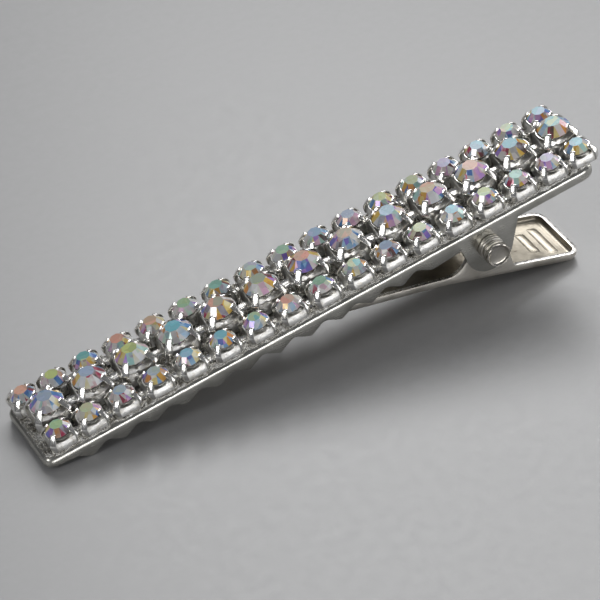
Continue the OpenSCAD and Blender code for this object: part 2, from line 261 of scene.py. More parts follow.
def noise_of(material, vector, scale, detail=4.0, roughness=0.55):
    made = node(material, "ShaderNodeTexNoise", Scale=scale, Detail=detail, Roughness=roughness)
    link(material, vector, made.inputs["Vector"])
    return made.outputs["Fac"]


def scaled(material, source, low, high, from_low=0.3, from_high=0.7):
    made = node(material, "ShaderNodeMapRange")
    made.inputs["From Min"].default_value = from_low
    made.inputs["From Max"].default_value = from_high
    made.inputs["To Min"].default_value = low
    made.inputs["To Max"].default_value = high
    link(material, source, made.inputs["Value"])
    return made.outputs["Result"]


def mixed(material, fac, a, b, blend="MIX"):
    made = node(material, "ShaderNodeMix", data_type="RGBA", blend_type=blend)
    for value, socket in ((fac, made.inputs[0]), (a, made.inputs[6]), (b, made.inputs[7])):
        if isinstance(value, (int, float)):
            socket.default_value = value
        elif isinstance(value, tuple):
            socket.default_value = (*value, 1)
        else:
            link(material, value, socket)
    return made.outputs[2]


def bumped(material, bsdf, height, distance_mm, strength=1.0, below=None):
    made = node(material, "ShaderNodeBump", Strength=strength, Distance=distance_mm * MM)
    link(material, height, made.inputs["Height"])
    if below:
        link(material, below, made.inputs["Normal"])
    link(material, made.outputs["Normal"], bsdf.inputs["Normal"])
    return made.outputs["Normal"]


def plated_sheet(name, light, dark, roughness, warm_spots):
    """Nickel-plated sheet: drawn marks along X, cloudy tarnish, small pits."""
    material, bsdf = shader(name, 1.0, roughness, light)
    place = coordinates(material)
    drawn = coordinates(material, (0.12, 1.6, 1.6))
    clouds = noise_of(material, place, 0.35, 5)
    lines = noise_of(material, drawn, 5.0, 6, 0.65)
    pits = noise_of(material, place, 9.0, 2)
    tone = ramp(material, clouds, [(0.3, dark), (0.5, light), (0.72, warm_spots)])
    streaks = ramp(material, lines, [(0.35, (0.78, 0.78, 0.78)), (0.6, (1, 1, 1))])
    link(material, mixed(material, 0.55, tone, streaks, "MULTIPLY"), bsdf.inputs["Base Color"])
    rough = node(material, "ShaderNodeMath", operation="ADD")
    link(material, scaled(material, lines, -0.05, 0.07), rough.inputs[0])
    link(material, scaled(material, clouds, roughness - 0.05, roughness + 0.08), rough.inputs[1])
    link(material, rough.outputs[0], bsdf.inputs["Roughness"])
    wavy = bumped(material, bsdf, clouds, 0.12, 0.35)
    fine = bumped(material, bsdf, lines, 0.006, 0.6, wavy)
    bumped(material, bsdf, pits, 0.012, 0.6, fine)
    return material


def sheared_edge_painted_highlight(name):
    """The cut edge of the sheet: a brighter colour than the plate, which is a painted highlight along the
    edges, with fine shear lines along Y.
    """
    material, bsdf = shader(name, 1.0, 0.3, (0.86, 0.84, 0.8))
    place = coordinates(material, (1, 0.3, 1))
    lines = noise_of(material, place, 6.0, 5)
    link(material, ramp(material, lines, [(0.3, (0.55, 0.53, 0.5)), (0.6, (0.95, 0.93, 0.9))]),
         bsdf.inputs["Base Color"])
    link(material, scaled(material, lines, 0.2, 0.42), bsdf.inputs["Roughness"])
    bumped(material, bsdf, lines, 0.02, 0.6)
    return material


def polished_silver(name, roughness):
    """Silver plate on stamped brass: bright, with small dents and darker hollows."""
    material, bsdf = shader(name, 1.0, roughness, (0.93, 0.92, 0.89))
    place = coordinates(material)
    dents = noise_of(material, place, 1.6, 3)
    grain = noise_of(material, place, 8.0, 3)
    link(material, ramp(material, dents, [(0.3, (0.72, 0.69, 0.63)), (0.48, (0.93, 0.92, 0.89)),
                                          (0.8, (0.97, 0.96, 0.95))]), bsdf.inputs["Base Color"])
    link(material, scaled(material, grain, roughness - 0.05, roughness + 0.12), bsdf.inputs["Roughness"])
    soft = bumped(material, bsdf, dents, 0.05, 0.4)
    bumped(material, bsdf, grain, 0.01, 0.5, soft)
    return material


def turned_metal():
    """The pin: bright turned metal with rings of fine tool marks."""
    material, bsdf = shader("turned_pin", 1.0, 0.3, (0.6, 0.57, 0.52))
    place = coordinates(material, (0.3, 9.0, 0.3))
    marks = noise_of(material, place, 0.35, 1)
    spots = noise_of(material, coordinates(material), 0.6, 3)
    link(material, ramp(material, spots, [(0.3, (0.48, 0.45, 0.39)), (0.55, (0.68, 0.65, 0.60)),
                                          (0.8, (0.76, 0.74, 0.70))]), bsdf.inputs["Base Color"])
    link(material, scaled(material, marks, 0.22, 0.36), bsdf.inputs["Roughness"])
    bumped(material, bsdf, marks, 0.002, 0.15)
    return material


def spring_steel():
    material, bsdf = shader("spring_steel", 1.0, 0.3, (0.5, 0.48, 0.45))
    place = coordinates(material)
    oil = noise_of(material, place, 1.1, 4)
    grain = noise_of(material, place, 11.0, 3)
    link(material, ramp(material, oil, [(0.3, (0.26, 0.24, 0.21)), (0.6, (0.56, 0.54, 0.5))]),
         bsdf.inputs["Base Color"])
    link(material, scaled(material, grain, 0.2, 0.42), bsdf.inputs["Roughness"])
    bumped(material, bsdf, grain, 0.008, 0.5)
    return material


def set_glue():
    """Clear adhesive over nickel: glossy and lumpy, with small grains. Its colour runs from near black in the
    hollows of the lumps to near white on their tops, which is painted shade and painted glints.
    """
    material, bsdf = shader("set_glue", 0.72, 0.1, (0.7, 0.68, 0.63))
    bsdf.inputs["Coat Weight"].default_value = 0.9
    bsdf.inputs["Coat Roughness"].default_value = 0.05
    place = coordinates(material)
    lumps = noise_of(material, place, 1.7, 6, 0.7)
    grains = node(material, "ShaderNodeTexVoronoi", Scale=4.5)
    link(material, place, grains.inputs["Vector"])
    # Painted shade in the hollows of the lumps and painted glints on their tops
    link(material, ramp(material, lumps, [(0.36, (0.10, 0.09, 0.07)), (0.48, (0.46, 0.44, 0.39)),
                                          (0.62, (0.92, 0.91, 0.88))]), bsdf.inputs["Base Color"])
    link(material, scaled(material, lumps, 0.04, 0.3), bsdf.inputs["Roughness"])
    big = bumped(material, bsdf, lumps, 0.35, 0.9)
    bumped(material, bsdf, grains.outputs["Distance"], 0.08, 0.8, big)
    return material


# Colours of a coated stone's crown facets, from one end of its range to the other: the coating's tints with
# its shifting sheen painted fixed on each facet, near-whites that are painted glints and a near-black that is
# a painted dark reflection
CROWN_TINTS_AND_GLINTS = [
    (0.00, (0.98, 0.98, 1.00)), (0.08, (0.96, 0.97, 0.99)), (0.13, (0.46, 0.72, 0.98)),
    (0.18, (0.12, 0.30, 0.66)), (0.22, (0.36, 0.24, 0.80)), (0.26, (0.72, 0.42, 0.90)),
    (0.30, (0.98, 0.60, 0.80)), (0.35, (0.98, 0.84, 0.84)), (0.40, (0.98, 0.97, 0.94)),
    (0.46, (0.62, 0.60, 0.60)), (0.51, (0.92, 0.40, 0.12)), (0.57, (0.98, 0.66, 0.14)),
    (0.63, (0.99, 0.86, 0.40)), (0.69, (0.99, 0.96, 0.80)), (0.75, (0.99, 0.98, 0.96)),
    (0.80, (0.60, 0.08, 0.16)), (0.84, (0.16, 0.12, 0.10)), (0.89, (0.66, 0.64, 0.76)),
    (0.94, (0.52, 0.88, 0.84)), (1.00, (0.86, 0.97, 0.78))]
TABLE_COLOURS = [
    (0.00, (0.13, 0.44, 0.46)), (0.16, (0.28, 0.48, 0.30)), (0.30, (0.50, 0.56, 0.16)),
    (0.44, (0.28, 0.36, 0.52)), (0.58, (0.14, 0.50, 0.58)), (0.72, (0.42, 0.34, 0.58)),
    (0.80, (0.30, 0.46, 0.34)), (0.88, (0.74, 0.32, 0.24)), (1.00, (0.40, 0.58, 0.34))]


def coated_glass(name, colours, metallic, roughness, coat, cell_scale, spread):
    """Foiled glass with a coating: each facet has its own colour, darkened cell by cell as a painted
    reflection of the facets behind it.
    """
    material, bsdf = shader(name, metallic, roughness, (0.9, 0.9, 0.92))
    bsdf.inputs["Coat Weight"].default_value = coat
    bsdf.inputs["Coat Roughness"].default_value = 0.02
    place = coordinates(material)
    cells = node(material, "ShaderNodeTexVoronoi", Scale=cell_scale)
    link(material, place, cells.inputs["Vector"])
    part = node(material, "ShaderNodeSeparateColor")
    link(material, cells.outputs["Color"], part.inputs["Color"])
    mark = node(material, "ShaderNodeAttribute", attribute_name="mark")
    wash = noise_of(material, place, 0.9, 2)
    shifted = node(material, "ShaderNodeMath", operation="MULTIPLY_ADD")
    link(material, part.outputs["Red"], shifted.inputs[0])
    shifted.inputs[1].default_value = spread
    link(material, mark.outputs["Fac"], shifted.inputs[2])
    drifted = node(material, "ShaderNodeMath", operation="MULTIPLY_ADD")
    link(material, wash, drifted.inputs[0])
    drifted.inputs[1].default_value = spread
    link(material, shifted.outputs[0], drifted.inputs[2])
    looped = node(material, "ShaderNodeMath", operation="FRACT")
    link(material, drifted.outputs[0], looped.inputs[0])
    colour = ramp(material, looped.outputs[0], colours)
    # Painted reflection: cells darken the colour where the facets behind would show
    painted_facets_behind = scaled(material, part.outputs["Green"], 0.72, 1.0, 0, 1)
    link(material, mixed(material, 1.0, colour, painted_facets_behind, "MULTIPLY"), bsdf.inputs["Base Color"])
    link(material, scaled(material, wash, max(roughness - 0.05, 0.02), roughness + 0.08),
         bsdf.inputs["Roughness"])
    bumped(material, bsdf, part.outputs["Blue"], 0.02, 0.35)
    return material


NICKEL = plated_sheet("nickel_plate", (0.70, 0.69, 0.64), (0.54, 0.53, 0.48), 0.2, (0.76, 0.74, 0.68))
LEVER_NICKEL = plated_sheet("nickel_lever", (0.84, 0.80, 0.73), (0.62, 0.58, 0.50), 0.36,
                            (0.88, 0.84, 0.77))
# The lever's inside is the same plating as its outside, made darker: painted shade inside the channel and on
# its ribs
LEVER_INSIDE_SHADE = plated_sheet("nickel_lever_inside_painted_shade", (0.46, 0.42, 0.35), (0.30, 0.27, 0.22), 0.34,
                            (0.54, 0.49, 0.41))
EDGE_HIGHLIGHT = sheared_edge_painted_highlight("sheared_edge_painted_highlight")
SILVER = polished_silver("silver_cup", 0.3)
BRIGHT = polished_silver("silver_prong", 0.12)
LINK_SILVER = polished_silver("silver_link", 0.2)
PIN_METAL = turned_metal()
SPRING = spring_steel()
GLUE = set_glue()
# The crown's colours hold painted sheen, painted glints and a painted dark reflection
CROWN = coated_glass("coated_crown_painted_glints", CROWN_TINTS_AND_GLINTS, 0.12, 0.15, 1.0, 1.3, 0.13)
TABLE = coated_glass("coated_table", TABLE_COLOURS, 0.0, 0.25, 0.25, 0.6, 0.08)
PAVILION = coated_glass("foiled_back", [(0, (0.55, 0.5, 0.42)), (0.5, (0.8, 0.78, 0.74)),
                                        (1, (0.35, 0.3, 0.24))], 1.0, 0.25, 0.5, 1.2, 0.3)


# ---------------------------------------------------------------- sheet metal

def pressed_shell(rim, up, bend_r, sheet, place, steps=6):
    """A channel with one closed end. rim runs along the wall from one open end, round the closed end, to
    the other, as (x, y, nx, ny, height): a point on the outside, its outward direction and the wall's
    height there. up is 1 if the walls stand above the flat and -1 if they hang below it."""
    shape = Shape()
    count = len(rim)

    def row(inset, level):
        return [place(x - nx * inset, y - ny * inset, up * min(level, high) if level > bend_r else up * level)
                for x, y, nx, ny, high in rim]

    outer = [[place(x, y, up * high) for x, y, nx, ny, high in rim]]
    inner = [[place(x - nx * sheet, y - ny * sheet, up * high) for x, y, nx, ny, high in rim]]
    for i in range(steps + 1):
        turn = math.radians(90 * i / steps)
        out_by = bend_r * (1 - math.cos(turn))
        out_up = bend_r * (1 - math.sin(turn))
        in_by = sheet + (bend_r - sheet) * (1 - math.cos(turn))
        in_up = sheet + (bend_r - sheet) * (1 - math.sin(turn))
        outer.append(row(out_by, out_up))
        inner.append(row(in_by, in_up))
    rows = len(outer)
    points = [p for r in outer for p in r] + [p for r in inner for p in r]
    side = max(k for k in range(count // 2) if abs(rim[k][3]) > 0.3)
    last = (rows - 1) * count
    faces = ring_faces(rows, count, closed=False)
    faces += [[last + k, last + k + 1, last + count - 2 - k, last + count - 1 - k] for k in range(side)]
    faces.append([last + k for k in range(side, count - side)])
    back = rows * count
    shape.add(points, faces, 0)
    for corners in faces:
        shape.face([back + i for i in reversed(corners)], 2)
    rim_faces = [[k, k + 1, back + k + 1, back + k] for k in range(count - 1)]
    for k in (0, count - 1):
        rim_faces += [[r * count + k, (r + 1) * count + k, back + (r + 1) * count + k, back + r * count + k]
                      for r in range(rows - 1)]
    rim_faces.append([last, last + count - 1, back + last + count - 1, back + last])
    for corners in rim_faces:
        shape.face(corners, 1)
    return shape


def channel_rim(xs, end_x, width, corner, height, end_height, toward, open_r=0.0):
    """The rim of a channel that is closed at end_x; toward is -1 if that end is in front, 1 if behind.
    open_r is the radius its walls turn in by at the open end, which is where xs begins."""
    half = width / 2
    centre = end_x - toward * corner
    steps = 8
    sides = []
    for x in xs:
        past = max(0.0, toward * (xs[0] + toward * open_r - x)) if open_r else 0.0
        turn = math.asin(min(past / open_r, 1) * 0.8) if open_r else 0.0
        sides.append((x, -half + open_r * (1 - math.cos(turn)), -toward * math.sin(turn), -math.cos(turn),
                      height(x)))
    for i in range(1, steps):
        turn = math.radians(90 * i / steps)
        nx, ny = toward * math.sin(turn), -math.cos(turn)
        sides.append((centre + corner * nx, -half + corner + corner * ny, nx, ny,
                      end_height(centre + corner * nx, -half + corner + corner * ny)))
    across = 24
    ends = []
    for i in range(across + 1):
        y = (-half + corner) + (width - 2 * corner) * i / across
        ends.append((end_x, y, float(toward), 0.0, end_height(end_x, y)))
    return sides + ends + [(x, -y, nx, -ny, high) for x, y, nx, ny, high in reversed(sides)]


# Teeth of the upper jaw and its ear
TOOTH_FIRST, TOOTH_PITCH, TOOTH_TIP, TOOTH_HOLLOW, HOLLOW_R = 4.3, 3.16, 1.9, 1.1, 0.9
TOOTH_STEPS = 11
LIP_DEPTH = 0.85
REAR_TURN_R = 1.4
FLANGE_MID, FLANGE_REAR = 1.65, 1.2
EAR_R, EAR_DROP = 2.4, 0.3
EAR_LEAN_FRONT, EAR_LEAN_REAR = math.radians(10), math.radians(24)


def tooth_depth(u):
    """Depth of the toothed edge at a distance u behind a tooth's tip."""
    u = abs((u + TOOTH_PITCH / 2) % TOOTH_PITCH - TOOTH_PITCH / 2)
    top = Vector((TOOTH_PITCH / 2, TOOTH_TIP - TOOTH_HOLLOW - HOLLOW_R))
    lean = math.atan2(top.y, top.x) + math.asin(HOLLOW_R / top.length)
    touch = math.sqrt(top.length ** 2 - HOLLOW_R ** 2) * math.cos(lean)
    if u < touch:
        rise = math.hypot(u * math.tan(lean), 0.07) - 0.02
    else:
        rise = top.y + math.sqrt(HOLLOW_R ** 2 - (u - top.x) ** 2)
    return TOOTH_TIP - rise


def flange_depth(x):
    last_tooth = TOOTH_FIRST + TOOTH_STEPS * TOOTH_PITCH
    ear_y = PIN_DEPTH + EAR_DROP
    front = PIN_X - EAR_R * math.cos(EAR_LEAN_FRONT)
    rear = PIN_X + EAR_R * math.cos(EAR_LEAN_REAR)
    front_y = ear_y + EAR_R * math.sin(EAR_LEAN_FRONT)
    rear_y = ear_y + EAR_R * math.sin(EAR_LEAN_REAR)
    front_top = front - (front_y - FLANGE_MID) * math.tan(EAR_LEAN_FRONT)
    rear_top = rear + (rear_y - FLANGE_REAR) * math.tan(EAR_LEAN_REAR)
    start = TOOTH_FIRST - TOOTH_PITCH / 2
    if x < start:
        return LIP_DEPTH + (TOOTH_HOLLOW - LIP_DEPTH) * x / start
    if x < last_tooth:
        return tooth_depth(x - TOOTH_FIRST)
    if x < front_top:
        return tooth_depth(0) + (FLANGE_MID - tooth_depth(0)) * (x - last_tooth) / (front_top - last_tooth)
    if x < front:
        return FLANGE_MID + (front_y - FLANGE_MID) * (x - front_top) / (front - front_top)
    if x < rear:
        return ear_y + math.sqrt(EAR_R ** 2 - (x - PIN_X) ** 2)
    if x < rear_top:
        return rear_y + (FLANGE_REAR - rear_y) * (x - rear) / (rear_top - rear)
    past = x - (PLATE_LEN - BEND_R)
    return FLANGE_REAR - (BEND_R - math.sqrt(max(BEND_R ** 2 - past ** 2, 0)) if past > 0 else 0)


def spaced(start, end, step):
    count = max(1, round((end - start) / step))
    return [start + (end - start) * i / count for i in range(count)]


def upper_jaw():
    # From the rear to the front, closer together where the outline curves: the rear bend, the two sides of
    # the ear and the teeth
    bend, rear_turn = PLATE_LEN - BEND_R, PLATE_LEN - 1.6
    ear_rear, ear_back, ear_fore, ear_front = (PIN_X + u for u in (3.6, 1.8, -1.8, -2.9))
    teeth_end = TOOTH_FIRST + TOOTH_STEPS * TOOTH_PITCH + 0.34
    xs = (spaced(PLATE_LEN, bend, -0.08) + spaced(bend, rear_turn, -0.12) + spaced(rear_turn, ear_rear, -0.6)
          + spaced(ear_rear, ear_back, -0.1) + spaced(ear_back, ear_fore, -0.22)
          + spaced(ear_fore, ear_front, -0.07) + spaced(ear_front, teeth_end, -0.4)
          + spaced(teeth_end, CORNER_R, -0.13) + [CORNER_R])

    def lip(x, y):
        notch = abs(y) < 0.25 and x < 0.01
        return 0.6 if notch else LIP_DEPTH

    def in_place(x, y, z):
        return Vector((x, y, z))

    rim = channel_rim(xs, 0.0, PLATE_W, CORNER_R, flange_depth, lip, -1, REAR_TURN_R)
    shape = pressed_shell(rim, -1, BEND_R, SHEET, in_place)
    make_piece("toothed_plate", shape, [NICKEL, EDGE_HIGHLIGHT, NICKEL], "top_body", ["upper_jaw"],
               bevel=0.045)


# The lower jaw as one bent strip: distances along it, slopes and wall heights
LOW_W = 7.6
LOW_START = 0.7
GRIP_DEPTH = 1.15
BEND_1 = 26.3
SLOPE_MID, SLOPE_LEVER = math.radians(17), math.radians(21)
MID_LEN = 13.7 / math.cos(SLOPE_MID)
LEVER_LEN = 13.2 / math.cos(SLOPE_LEVER)
BEND_2 = BEND_1 + MID_LEN
STRIP_END = BEND_2 + LEVER_LEN
WALL_H = 1.05
GRIP_H = 0.7
LOW_BEND_R = 0.75
TRAY_R = 1.2
LOW_EAR_R = 1.7
SWEEP_R = 2.0
BEND_SOFT = 0.9


def strip_slope(s):
    def step(centre):
        t = min(max((s - centre + BEND_SOFT) / (2 * BEND_SOFT), 0), 1)
        return t * t * (3 - 2 * t)
    return SLOPE_MID * step(BEND_1) + (SLOPE_LEVER - SLOPE_MID) * step(BEND_2)


def strip_table():
    """The underside's line every 0.05 mm, as (x, z)."""
    step = 0.05
    x, z = LOW_START, -GRIP_DEPTH
    line = [(x, z)]
    for i in range(int((STRIP_END - LOW_START) / step) + 2):
        slope = strip_slope(LOW_START + (i + 0.5) * step)
        x += step * math.cos(slope)
        z -= step * math.sin(slope)
        line.append((x, z))
    return step, line


STRIP_STEP, STRIP_LINE = strip_table()


def on_strip(s, y, h):
    t = (s - LOW_START) / STRIP_STEP
    i = min(max(int(t), 0), len(STRIP_LINE) - 2)
    a, b = STRIP_LINE[i], STRIP_LINE[i + 1]
    slope = strip_slope(s)
    x = a[0] + (b[0] - a[0]) * (t - i)
    z = a[1] + (b[1] - a[1]) * (t - i)
    return Vector((x + h * math.sin(slope), y, z + h * math.cos(slope)))


def pin_on_strip():
    """The pin's place along the lever and its height over the lever's underside."""
    foot = on_strip(BEND_2 + 2, 0, 0)
    way = Vector((PIN_X - foot.x, -PIN_DEPTH - foot.z))
    along = Vector((math.cos(SLOPE_LEVER), -math.sin(SLOPE_LEVER)))
    up = Vector((math.sin(SLOPE_LEVER), math.cos(SLOPE_LEVER)))
    return BEND_2 + 2 + way.dot(along), way.dot(up)


PIN_S, PIN_H = pin_on_strip()


def low_wall(s):
    ear_front = PIN_S - LOW_EAR_R
    sweep = ear_front - SWEEP_R
    if s < BEND_1:
        tooth = abs((s - LOW_START + TOOTH_PITCH / 2) % TOOTH_PITCH - TOOTH_PITCH / 2)
        return GRIP_H - max(0, 0.22 * (1 - tooth / 0.7))
    if s < BEND_1 + 1.3:
        return GRIP_H + (WALL_H - GRIP_H) * (s - BEND_1) / 1.3
    if s < sweep:
        return WALL_H
    if s < ear_front:
        return WALL_H + SWEEP_R - math.sqrt(SWEEP_R ** 2 - (s - sweep) ** 2)
    if s < PIN_S + 0.85 * LOW_EAR_R:
        return PIN_H + math.sqrt(max(LOW_EAR_R ** 2 - (s - PIN_S) ** 2, 0))
    foot = PIN_S + 3.47
    if s < foot:
        high = PIN_H + math.sqrt(LOW_EAR_R ** 2 * (1 - 0.85 ** 2))
        t = (s - PIN_S - 0.85 * LOW_EAR_R) / (foot - PIN_S - 0.85 * LOW_EAR_R)
        return high + (WALL_H - high) * t
    return WALL_H


def lower_jaw():
    ear_front = PIN_S - LOW_EAR_R
    sweep, rise, tray = ear_front - SWEEP_R, BEND_1 + 1.4, STRIP_END - TRAY_R
    before, after, top, foot = ear_front - 0.4, ear_front + 0.4, PIN_S + 1.4, PIN_S + 3.6
    xs = (spaced(LOW_START, BEND_1, 0.14) + spaced(BEND_1, rise, 0.2) + spaced(rise, sweep, 0.5)
          + spaced(sweep, before, 0.12) + spaced(before, after, 0.04) + spaced(after, top, 0.15)
          + spaced(top, foot, 0.15) + spaced(foot, tray, 0.4) + [tray])

    def rear(x, y):
        return WALL_H

    rim = channel_rim(xs, STRIP_END, LOW_W, TRAY_R, low_wall, rear, 1)
    shape = pressed_shell(rim, 1, LOW_BEND_R, SHEET, on_strip)
    for distance, length in ((1.9, 4.6), (3.5, 3.4)):
        rib(shape, STRIP_END - distance, length)
    # Its inner faces and ribs take the darker copy of the plating, which is painted shade
    make_piece("thumb_lever", shape, [LEVER_NICKEL, EDGE_HIGHLIGHT, LEVER_INSIDE_SHADE], "lever_body",
               ["lower_jaw"], bevel=0.045)


def rib(shape, s, length):
    """A low pressed rib across the lever's floor, with round ends."""
    around, along = 9, 13
    rows = []
    for i in range(along):
        t = -1 + 2 * i / (along - 1)
        fade = math.sqrt(max(1 - abs(t) ** 6, 0))
        for k in range(around):
            turn = math.radians(180 * k / (around - 1))
            rows.append(on_strip(s + 0.55 * math.cos(turn), t * length / 2,
                                 SHEET - 0.03 + 0.2 * fade * max(math.sin(turn), 0) ** 1.5))
    shape.add(rows, ring_faces(along, around, closed=False), 2)


# ---------------------------------------------------------------- pin and spring

def pivot_pin():
    """A lathe-turned pin with two heads: collar, groove, cap with a rim round a dished end."""
    r, head, ear = PIN_R, HEAD_R, PLATE_W / 2 + 0.03
    end = PLATE_W / 2 + PIN_OUT
    half = [(r, 0), (r, ear), (head - 0.06, ear), (head, ear + 0.06), (head, ear + 0.22),
            (head - 0.05, ear + 0.27), (head - 0.05, ear + 0.33), (head, ear + 0.38), (head, ear + 0.56),
            (head - 0.06, ear + 0.62), (head - 0.22, ear + 0.64), (head - 0.24, ear + 0.74),
            (head - 0.22, ear + 0.82), (head - 0.09, ear + 0.85), (head - 0.03, ear + 0.92),
            (head - 0.03, ear + 1.08), (head - 0.07, ear + 1.12), (head - 0.03, ear + 1.16),
            (head - 0.03, end - 0.16), (head - 0.07, end - 0.05), (head - 0.14, end),
            (head - 0.2, end - 0.03), (head - 0.27, end - 0.14), (head - 0.4, end - 0.19),
            (0.35, end - 0.24), (0.0, end - 0.25)]
    profile = [(a, -b) for a, b in reversed(half)] + half[1:]
    around = 64
    shape = Shape()
    points = []
    for radius, y in profile:
        for k in range(around):
            turn = 2 * math.pi * k / around
            points.append(Vector((PIN_X + max(radius, 0.004) * math.cos(turn), y,
                                  -PIN_DEPTH + max(radius, 0.004) * math.sin(turn))))
    faces = ring_faces(len(profile), around)
    faces.append(list(range(around)))
    faces.append([(len(profile) - 1) * around + k for k in reversed(range(around))])
    shape.add(points, faces)
    make_piece("turned_pin", shape, [PIN_METAL], "top_body", ["pivot_pin"], sharp=60)


def torsion_spring():
    """A wire wound round the pin, with one leg under the plate and one on the lever's floor."""
    wire_r, coil_r, turns, up_at, down_at = WIRE_R, COIL_R, COIL_TURNS, 100, 225
    width = LOW_W - 2 * SHEET - 2 * wire_r - COIL_PLAY
    whole = 360 * turns + down_at - up_at
    steps = turns * 32

    def coil(t):
        angle = math.radians(up_at + whole * t)
        return Vector((PIN_X + coil_r * math.cos(angle), width * (t - 0.5),
                       -PIN_DEPTH + coil_r * math.sin(angle)))

    up, down = math.radians(up_at), math.radians(down_at)
    top, bottom = coil(0), coil(1)
    up_way = Vector((math.sin(up), 0, -math.cos(up)))
    down_way = Vector((-math.sin(down), 0, math.cos(down)))
    up_len = (-top.z - SHEET - wire_r - 0.05) / up_way.z
    foot = on_strip(PIN_S - 2, 0, SHEET + wire_r + 0.05)
    lean = math.tan(SLOPE_LEVER)
    gap = bottom.z - (foot.z - (bottom.x - foot.x) * lean)
    down_len = gap / (-down_way.z - down_way.x * lean)
    path = [top + up_way * up_len * (1 - i / 6) for i in range(6)]
    path += [coil(i / steps) for i in range(steps + 1)]
    path += [bottom + down_way * down_len * i / 6 for i in range(1, 7)]
    piece = make_piece("spring_wire_coil", tube(path, wire_r, 12), [SPRING], None,
                       ["torsion_spring"], sharp=60)
    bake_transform(piece)


def tube(path, radius, sides):
    """A round tube along a path that never runs along Y, closed at both ends."""
    points = []
    last = len(path) - 1
    for i, p in enumerate(path):
        ahead = (path[min(i + 1, last)] - path[max(i - 1, 0)]).normalized()
        a = ahead.cross(Vector((0, 1, 0))).normalized()
        b = ahead.cross(a)
        r = radius * (0.8 if i in (0, last) else 1)
        for k in range(sides):
            turn = 2 * math.pi * k / sides
            points.append(p + r * (math.cos(turn) * a + math.sin(turn) * b))
    shape = Shape()
    faces = ring_faces(len(path), sides)
    faces.append(list(reversed(range(sides))))
    faces.append([last * sides + k for k in range(sides)])
    shape.add(points, faces)
    return shape


# ---------------------------------------------------------------- stones

def stone_sizes(radius):
    small = radius < LARGE_R
    return {"r": radius, "table": (0.54 if small else 0.48) * radius, "crown": 0.6 if small else 0.75,
            "girdle": 0.1 if small else 0.12, "pavilion": 1.03 if small else 1.76}


def stone_shape(size, rng):
    """A chaton: eight-sided table, eight broad mains with small triangles between, pointed back."""
    shape = Shape()
    z_girdle = size["pavilion"]
    z_crown = z_girdle + size["girdle"]
    z_table = z_crown + size["crown"]
    sides = 8

    def ring(count, radius, z, shift=0.0):
        return [Vector((radius * math.cos(2 * math.pi * (k + shift) / count),
                        radius * math.sin(2 * math.pi * (k + shift) / count), z)) for k in range(count)]

    table = ring(sides, size["table"], z_table)
    girdle_top = ring(2 * sides, size["r"], z_crown, 0.5)
    girdle_low = ring(2 * sides, size["r"], z_girdle, 0.5)
    back = ring(sides, 0.45 * size["r"], 0.45 * z_girdle)
    t0, g0, l0, b0, c0 = 0, sides, 3 * sides, 5 * sides, 6 * sides
    shape.points = table + girdle_top + girdle_low + back + [Vector((0, 0, 0.02))]

    def facet(corners, kind):
        shape.face(corners, kind, rng.random())

    facet([t0 + k for k in range(sides)], 1)
    for k in range(sides):
        n = (k + 1) % sides
        before = (2 * k - 1) % (2 * sides)
        facet([t0 + k, g0 + 2 * k, g0 + 2 * k + 1, t0 + n], 0)
        facet([t0 + k, g0 + before, g0 + 2 * k], 0)
        for j in (2 * k, 2 * k + 1):
            after = (j + 1) % (2 * sides)
            facet([g0 + j, l0 + j, l0 + after, g0 + after], 2)
        facet([l0 + 2 * k, b0 + k, b0 + n, l0 + 2 * k + 1], 2)
        facet([l0 + before, b0 + k, l0 + 2 * k], 2)
        facet([b0 + k, c0, b0 + n], 2)
    return shape


# ---------------------------------------------------------------- cups

def rounded_square(half, corner, per_corner=5, per_side=4):
    """Points round a square with round corners, with how near each is to a corner, from 0 to 1."""
    points = []
    for q in range(4):
        turn0 = math.radians(90 * q)
        centre = Vector((half - corner, half - corner))
        for i in range(per_corner):
            bend = math.radians(90 * i / (per_corner - 1))
            p = centre + corner * Vector((math.cos(bend), math.sin(bend)))
            points.append((turned(p, turn0), 1.0))
        for i in range(1, per_side):
            t = i / per_side
            a = Vector((half - corner, half))
            b = Vector((-half + corner, half))
            near = abs(2 * t - 1) ** 2
            points.append((turned(a.lerp(b, t), turn0), near))
    return points


def turned(p, turn):
    c, s = math.cos(turn), math.sin(turn)
    return Vector((p.x * c - p.y * s, p.x * s + p.y * c))


def cup_shape(width, side_h, size, rng):
    """A stamped cup: rounded foot, walls that dip between the corners, four prongs folded on the stone."""
    shape = Shape()
    half, wall, corner = width / 2, 0.15, 0.42
    rows = [(0.16, 0.0), (0.07, 0.02), (0.02, 0.07), (0.0, 0.14), (0.10, 0.6 * side_h), (0.17, None)]
    outer_rows = []
    for inset, level in rows:
        ring = []
        for p, near in rounded_square(half - inset, max(corner - inset, 0.15)):
            top = side_h * (0.86 + 0.14 * near) + (0.06 if near == 1.0 else 0)
            ring.append(Vector((p.x, p.y, top if level is None else level)))
        outer_rows.append(ring)
    count = len(outer_rows[0])
    inner_top, inner_low = [], []
    for (p, near), (q, _) in zip(rounded_square(half - wall - 0.13, corner - wall + 0.04),
                                 rounded_square(half - wall - 0.15, corner - wall)):
        top = side_h * (0.86 + 0.14 * near) + (0.06 if near == 1.0 else 0)
        inner_top.append(Vector((p.x, p.y, top)))
        inner_low.append(Vector((q.x, q.y, CUP_FLOOR)))
    rings = outer_rows + [inner_top, inner_low]
    points = [p for ring in rings for p in ring]
    faces = ring_faces(len(rings), count)
    faces.append(list(reversed(range(count))))
    faces.append([(len(rings) - 1) * count + k for k in range(count)])
    shape.add(points, faces)
    for q in range(4):
        shape.join(prong(width, side_h, size, corner, q, rng))
    shape.join(collar(size))
    return shape


